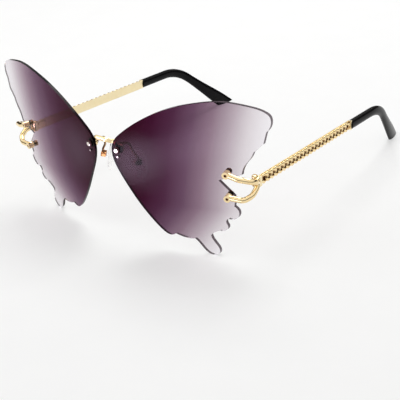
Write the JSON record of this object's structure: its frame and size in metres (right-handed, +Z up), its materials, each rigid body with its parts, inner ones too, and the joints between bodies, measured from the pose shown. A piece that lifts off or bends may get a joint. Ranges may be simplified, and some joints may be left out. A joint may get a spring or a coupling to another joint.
{
  "type": "sunglasses",
  "caption": "Rimless butterfly sunglasses with purple gradient wing lenses, gold claw hinges, gold curb-chain temples and black ear tips.",
  "frame": {"origin": "middle of the footprint, on the table that the lens tips and ear tips stand on", "axes": "+X to the viewer's right as seen from the front, +Y back along the temples, +Z up"},
  "size_m": [0.155, 0.1652, 0.0728],
  "materials": {
    "tinted_lens": "gloss",
    "gold": "polished",
    "dark_metal": "polished",
    "black_plastic": "gloss",
    "clear_plastic": "gloss",
    "clear_silicone": "satin"
  },
  "bodies": {
    "front": {"bridge": "gold", "lens_left": "tinted_lens", "bridge_screw_left": "dark_metal", "bridge_pin_left": "dark_metal", "bridge_washer_left": "clear_plastic", "bridge_nut_left": "gold", "end_piece_left": "gold", "prong_screws_left": "dark_metal", "prong_washers_left": "clear_plastic", "hinge_screw_left": "dark_metal", "pad_arm_left": "gold", "pad_box_left": "gold", "pad_screw_left": "gold", "lens_right": "tinted_lens", "bridge_screw_right": "dark_metal", "bridge_pin_right": "dark_metal", "bridge_washer_right": "clear_plastic", "bridge_nut_right": "gold", "end_piece_right": "gold", "prong_screws_right": "dark_metal", "prong_washers_right": "clear_plastic", "hinge_screw_right": "dark_metal", "pad_arm_right": "gold", "pad_box_right": "gold", "pad_screw_right": "gold"},
    "temple_left": {"temple_left": "gold", "hinge_leaf_left": "gold", "temple_chain_left": "gold", "ear_tip_left": "black_plastic"},
    "temple_right": {"temple_right": "gold", "hinge_leaf_right": "gold", "temple_chain_right": "gold", "ear_tip_right": "black_plastic"},
    "nose_pad_left": {"nose_pad_left": "clear_silicone"},
    "nose_pad_right": {"nose_pad_right": "clear_silicone"}
  },
  "joints": [
    {"name": "temple_right_fold", "type": "hinge", "parent": "front", "child": "temple_right", "pos_m": [0.0656, -0.06098, 0.03571], "axis": [0, 0, 1], "range_deg": [0, 88]},
    {"name": "temple_left_fold", "type": "hinge", "parent": "front", "child": "temple_left", "pos_m": [-0.0656, -0.06098, 0.03571], "axis": [0, 0, -1], "range_deg": [0, 76]},
    {"name": "nose_pad_right_rock", "type": "hinge", "parent": "front", "child": "nose_pad_right", "pos_m": [0.01027, -0.07099, 0.03691], "axis": [0.515, 0.8572, 0], "range_deg": [-8, 8]},
    {"name": "nose_pad_left_rock", "type": "hinge", "parent": "front", "child": "nose_pad_left", "pos_m": [-0.01027, -0.07099, 0.03691], "axis": [0.515, -0.8572, 0], "range_deg": [-8, 8]}
  ]
}
